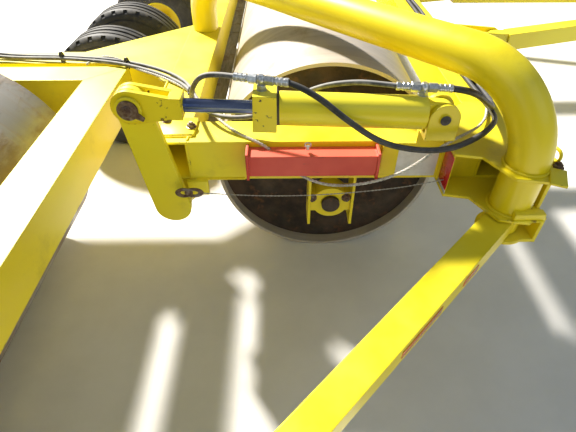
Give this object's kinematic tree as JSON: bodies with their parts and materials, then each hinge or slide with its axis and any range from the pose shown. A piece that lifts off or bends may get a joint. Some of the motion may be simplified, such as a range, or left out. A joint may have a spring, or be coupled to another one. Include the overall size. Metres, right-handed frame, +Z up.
{
  "type": "folding land roller",
  "caption": "Three-section towed land roller with smooth steel drums, wings that fold back and lowering transport wheels, standing with its wings out.",
  "frame": {"origin": "on the ground, at the centre of the machine's box", "axes": "+X towards the tractor, +Y to the machine's left along the drums, +Z up"},
  "size_m": [8.41, 13.178, 1.2758],
  "materials": {
    "yellow_paint": "worn gloss",
    "drum_steel": "worn, streaked",
    "drum_end_steel": "dull, rusty",
    "scraper_steel": "dull",
    "tyre_rubber": "dusty",
    "red_paint": "faded gloss",
    "rod_chrome": "polished",
    "jack_paint": "satin",
    "jack_steel": "zinc"
  },
  "bodies": {
    "centre_frame": {"centre_beams": "yellow_paint", "centre_end_beams": "yellow_paint", "outriggers": "yellow_paint", "arch_pipes": "yellow_paint", "corner_brackets": "yellow_paint", "centre_brackets": "yellow_paint", "transport_locks": "red_paint", "centre_scrapers": "scraper_steel", "tongue_lugs": "yellow_paint"},
    "centre_drum": {"centre_drum_shell": "drum_steel", "centre_drum_ends": "drum_end_steel"},
    "rockshaft": {"rockshaft": "yellow_paint"},
    "tongue": {"tongue_beam": "yellow_paint", "tongue_braces": "yellow_paint", "tongue_hitch": "yellow_paint", "jack_tube": "jack_paint"},
    "jack": {"jack_leg": "jack_steel"},
    "right_wheels": {"right_wheel_tyres": "tyre_rubber", "right_wheel_hubs": "yellow_paint"},
    "right_lift_cylinder": {"right_lift_barrel": "yellow_paint"},
    "right_lift_piston": {"right_lift_rod": "rod_chrome"},
    "right_wing": {"right_wing_beams": "yellow_paint", "right_wing_end_beams": "yellow_paint", "right_wing_scrapers": "scraper_steel", "right_wing_hinge": "yellow_paint", "right_wing_brackets": "yellow_paint"},
    "right_wing_drum": {"right_wing_shell": "drum_steel", "right_wing_drum_ends": "drum_end_steel"},
    "right_wheel_arm": {"right_wing_arm": "yellow_paint"},
    "right_wing_wheel": {"right_wing_tyre": "tyre_rubber", "right_wing_hub": "yellow_paint"},
    "right_wing_cylinder": {"right_wing_barrel": "yellow_paint"},
    "right_wing_piston": {"right_wing_rod": "rod_chrome"},
    "right_pole": {"right_draft_pole": "yellow_paint"},
    "left_wheels": {"left_wheel_tyres": "tyre_rubber", "left_wheel_hubs": "yellow_paint"},
    "left_lift_cylinder": {"left_lift_barrel": "yellow_paint"},
    "left_lift_piston": {"left_lift_rod": "rod_chrome"},
    "left_wing": {"left_wing_beams": "yellow_paint", "left_wing_end_beams": "yellow_paint", "left_wing_scrapers": "scraper_steel", "left_wing_hinge": "yellow_paint", "left_wing_brackets": "yellow_paint"},
    "left_wing_drum": {"left_wing_shell": "drum_steel", "left_wing_drum_ends": "drum_end_steel"},
    "left_wheel_arm": {"left_wing_arm": "yellow_paint"},
    "left_wing_wheel": {"left_wing_tyre": "tyre_rubber", "left_wing_hub": "yellow_paint"},
    "left_wing_cylinder": {"left_wing_barrel": "yellow_paint"},
    "left_wing_piston": {"left_wing_rod": "rod_chrome"},
    "left_pole": {"left_draft_pole": "yellow_paint"}
  },
  "joints": [
    {"name": "centre_drum_spin", "type": "hinge", "parent": "centre_frame", "child": "centre_drum", "pos_m": [-1.235, 0, 0.5335], "axis": [0, 1, 0], "continuous": true},
    {"name": "rockshaft_lift", "type": "hinge", "parent": "centre_frame", "child": "rockshaft", "pos_m": [-1.909, 0, 0.6], "axis": [0, -1, 0], "range_deg": [-8, 30]},
    {"name": "tongue_pitch", "type": "hinge", "parent": "centre_frame", "child": "tongue", "pos_m": [-0.115, 0, 0.789], "axis": [0, -1, 0], "range_deg": [-4, 15]},
    {"name": "jack_slide", "type": "slide", "parent": "tongue", "child": "jack", "axis": [0, 0, 1], "range_m": [0, 0.38]},
    {"name": "right_wheels_spin", "type": "hinge", "parent": "rockshaft", "child": "right_wheels", "pos_m": [-2.595, -0.71, 0.412], "axis": [0, 1, 0], "continuous": true},
    {"name": "right_lift_swing", "type": "hinge", "parent": "centre_frame", "child": "right_lift_cylinder", "pos_m": [-0.875, -2.488, 1.025], "axis": [0, -1, 0], "range_deg": [-1.27, 4.22]},
    {"name": "right_lift_stroke", "type": "slide", "parent": "right_lift_cylinder", "child": "right_lift_piston", "axis": [-0.9992, 0, 0.0409], "range_m": [-0.0634, 0.2324]},
    {"name": "right_wing_fold", "type": "hinge", "parent": "centre_frame", "child": "right_wing", "pos_m": [-3.343, -1.56, 0.789], "axis": [0, 0, -1], "range_deg": [0, 90]},
    {"name": "right_wing_drum_spin", "type": "hinge", "parent": "right_wing", "child": "right_wing_drum", "pos_m": [-2.998, -4.151, 0.5335], "axis": [0, 1, 0], "continuous": true},
    {"name": "right_wheel_arm_lift", "type": "hinge", "parent": "right_wing", "child": "right_wheel_arm", "pos_m": [-3.811, -5, 0.6], "axis": [1, 0, 0], "range_deg": [-8, 30]},
    {"name": "right_wing_wheel_spin", "type": "hinge", "parent": "right_wheel_arm", "child": "right_wing_wheel", "pos_m": [-4.065, -5.686, 0.412], "axis": [1, 0, 0], "continuous": true},
    {"name": "right_wing_cylinder_swing", "type": "hinge", "parent": "right_wing", "child": "right_wing_cylinder", "pos_m": [-3.811, -3.966, 1.025], "axis": [1, 0, 0], "range_deg": [-1.27, 4.22]},
    {"name": "right_wing_stroke", "type": "slide", "parent": "right_wing_cylinder", "child": "right_wing_piston", "axis": [0, -0.9992, 0.0409], "range_m": [-0.0634, 0.2324]},
    {"name": "right_pole_swing", "type": "hinge", "parent": "centre_frame", "child": "right_pole", "pos_m": [-0.57, -2.618, 0.64], "axis": [0, 0, -1], "range_deg": [0, 45]},
    {"name": "left_wheels_spin", "type": "hinge", "parent": "rockshaft", "child": "left_wheels", "pos_m": [-2.595, 0.71, 0.412], "axis": [0, 1, 0], "continuous": true},
    {"name": "left_lift_swing", "type": "hinge", "parent": "centre_frame", "child": "left_lift_cylinder", "pos_m": [-0.875, 2.488, 1.025], "axis": [0, -1, 0], "range_deg": [-1.27, 4.22]},
    {"name": "left_lift_stroke", "type": "slide", "parent": "left_lift_cylinder", "child": "left_lift_piston", "axis": [-0.9992, 0, 0.0409], "range_m": [-0.0634, 0.2324]},
    {"name": "left_wing_fold", "type": "hinge", "parent": "centre_frame", "child": "left_wing", "pos_m": [-3.343, 1.56, 0.789], "axis": [0, 0, 1], "range_deg": [0, 90]},
    {"name": "left_wing_drum_spin", "type": "hinge", "parent": "left_wing", "child": "left_wing_drum", "pos_m": [-2.998, 4.151, 0.5335], "axis": [0, 1, 0], "continuous": true},
    {"name": "left_wheel_arm_lift", "type": "hinge", "parent": "left_wing", "child": "left_wheel_arm", "pos_m": [-3.811, 5, 0.6], "axis": [-1, 0, 0], "range_deg": [-8, 30]},
    {"name": "left_wing_wheel_spin", "type": "hinge", "parent": "left_wheel_arm", "child": "left_wing_wheel", "pos_m": [-4.065, 5.686, 0.412], "axis": [1, 0, 0], "continuous": true},
    {"name": "left_wing_cylinder_swing", "type": "hinge", "parent": "left_wing", "child": "left_wing_cylinder", "pos_m": [-3.811, 3.966, 1.025], "axis": [-1, 0, 0], "range_deg": [-1.27, 4.22]},
    {"name": "left_wing_stroke", "type": "slide", "parent": "left_wing_cylinder", "child": "left_wing_piston", "axis": [0, 0.9992, 0.0409], "range_m": [-0.0634, 0.2324]},
    {"name": "left_pole_swing", "type": "hinge", "parent": "centre_frame", "child": "left_pole", "pos_m": [-0.57, 2.618, 0.64], "axis": [0, 0, 1], "range_deg": [0, 45]}
  ],
  "couplings": [
    {"joint": "right_lift_swing", "follows": "rockshaft_lift", "ratio": 0.134},
    {"joint": "right_lift_stroke", "follows": "rockshaft_lift", "m_per_rad": 0.44},
    {"joint": "right_wing_cylinder_swing", "follows": "right_wheel_arm_lift", "ratio": 0.134},
    {"joint": "right_wing_stroke", "follows": "right_wheel_arm_lift", "m_per_rad": 0.44},
    {"joint": "right_pole_swing", "follows": "right_wing_fold", "ratio": 0.5},
    {"joint": "left_lift_swing", "follows": "rockshaft_lift", "ratio": 0.134},
    {"joint": "left_lift_stroke", "follows": "rockshaft_lift", "m_per_rad": 0.44},
    {"joint": "left_wing_cylinder_swing", "follows": "left_wheel_arm_lift", "ratio": 0.134},
    {"joint": "left_wing_stroke", "follows": "left_wheel_arm_lift", "m_per_rad": 0.44},
    {"joint": "left_pole_swing", "follows": "left_wing_fold", "ratio": 0.5}
  ]
}
